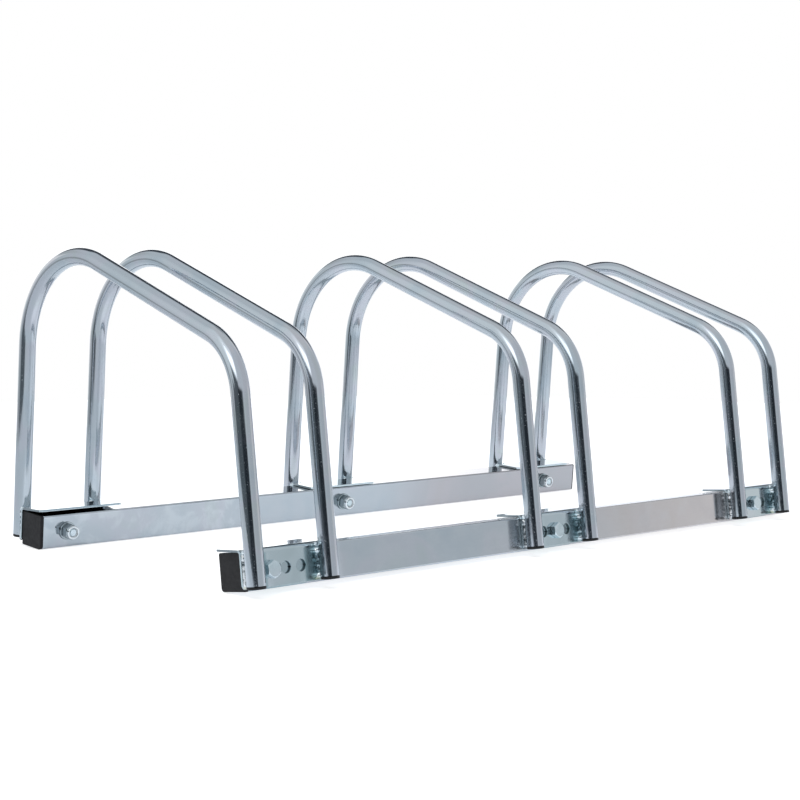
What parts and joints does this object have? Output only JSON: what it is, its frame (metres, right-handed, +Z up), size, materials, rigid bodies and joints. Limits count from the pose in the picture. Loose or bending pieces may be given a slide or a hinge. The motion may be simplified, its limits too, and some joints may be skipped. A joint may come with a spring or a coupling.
{
  "type": "bicycle rack",
  "caption": "Floor-standing bicycle rack: pairs of bent tube hoops, lower at the front, hold each wheel in a slot over two bolted rails.",
  "frame": {"origin": "on the floor under the middle of the rack's bounding box", "axes": "+X along the rails to the right as seen from the front, +Y from the low front ends of the hoops to the high rear ends, +Z up"},
  "size_m": [0.762, 0.3648, 0.2775],
  "materials": {
    "bright_zinc_tube": "bright zinc plate, glossy, slightly blue",
    "dull_zinc_rail": "satin zinc plate with faint blue and lilac clouding",
    "zinc_bracket": "zinc plate over pressed sheet, with rough weld beads",
    "zinc_fastener": "bright zinc plate",
    "black_foot_plug": "satin moulded plastic",
    "black_rail_cap": "fine grained moulded plastic"
  },
  "bodies": {
    "root": {"hoop_1": "bright_zinc_tube", "hoop_2": "bright_zinc_tube", "hoop_3": "bright_zinc_tube", "hoop_4": "bright_zinc_tube", "hoop_5": "bright_zinc_tube", "hoop_6": "bright_zinc_tube", "rail_front": "dull_zinc_rail", "rail_cap_front_left": "black_rail_cap", "rail_cap_front_right": "black_rail_cap", "bracket_front_1": "zinc_bracket", "bolt_front_1": "zinc_fastener", "washer_front_1": "zinc_fastener", "nut_front_1": "zinc_fastener", "bracket_front_2": "zinc_bracket", "bolt_front_2": "zinc_fastener", "washer_front_2": "zinc_fastener", "nut_front_2": "zinc_fastener", "bracket_front_3": "zinc_bracket", "bolt_front_3": "zinc_fastener", "washer_front_3": "zinc_fastener", "nut_front_3": "zinc_fastener", "foot_plug_front_1": "black_foot_plug", "foot_plug_front_2": "black_foot_plug", "foot_plug_front_3": "black_foot_plug", "foot_plug_front_4": "black_foot_plug", "foot_plug_front_5": "black_foot_plug", "foot_plug_front_6": "black_foot_plug", "rail_rear": "dull_zinc_rail", "rail_cap_rear_left": "black_rail_cap", "rail_cap_rear_right": "black_rail_cap", "bracket_rear_1": "zinc_bracket", "bolt_rear_1": "zinc_fastener", "washer_rear_1": "zinc_fastener", "nut_rear_1": "zinc_fastener", "bracket_rear_2": "zinc_bracket", "bolt_rear_2": "zinc_fastener", "washer_rear_2": "zinc_fastener", "nut_rear_2": "zinc_fastener", "bracket_rear_3": "zinc_bracket", "bolt_rear_3": "zinc_fastener", "washer_rear_3": "zinc_fastener", "nut_rear_3": "zinc_fastener", "foot_plug_rear_1": "black_foot_plug", "foot_plug_rear_2": "black_foot_plug", "foot_plug_rear_3": "black_foot_plug", "foot_plug_rear_4": "black_foot_plug", "foot_plug_rear_5": "black_foot_plug", "foot_plug_rear_6": "black_foot_plug"}
  },
  "joints": []
}
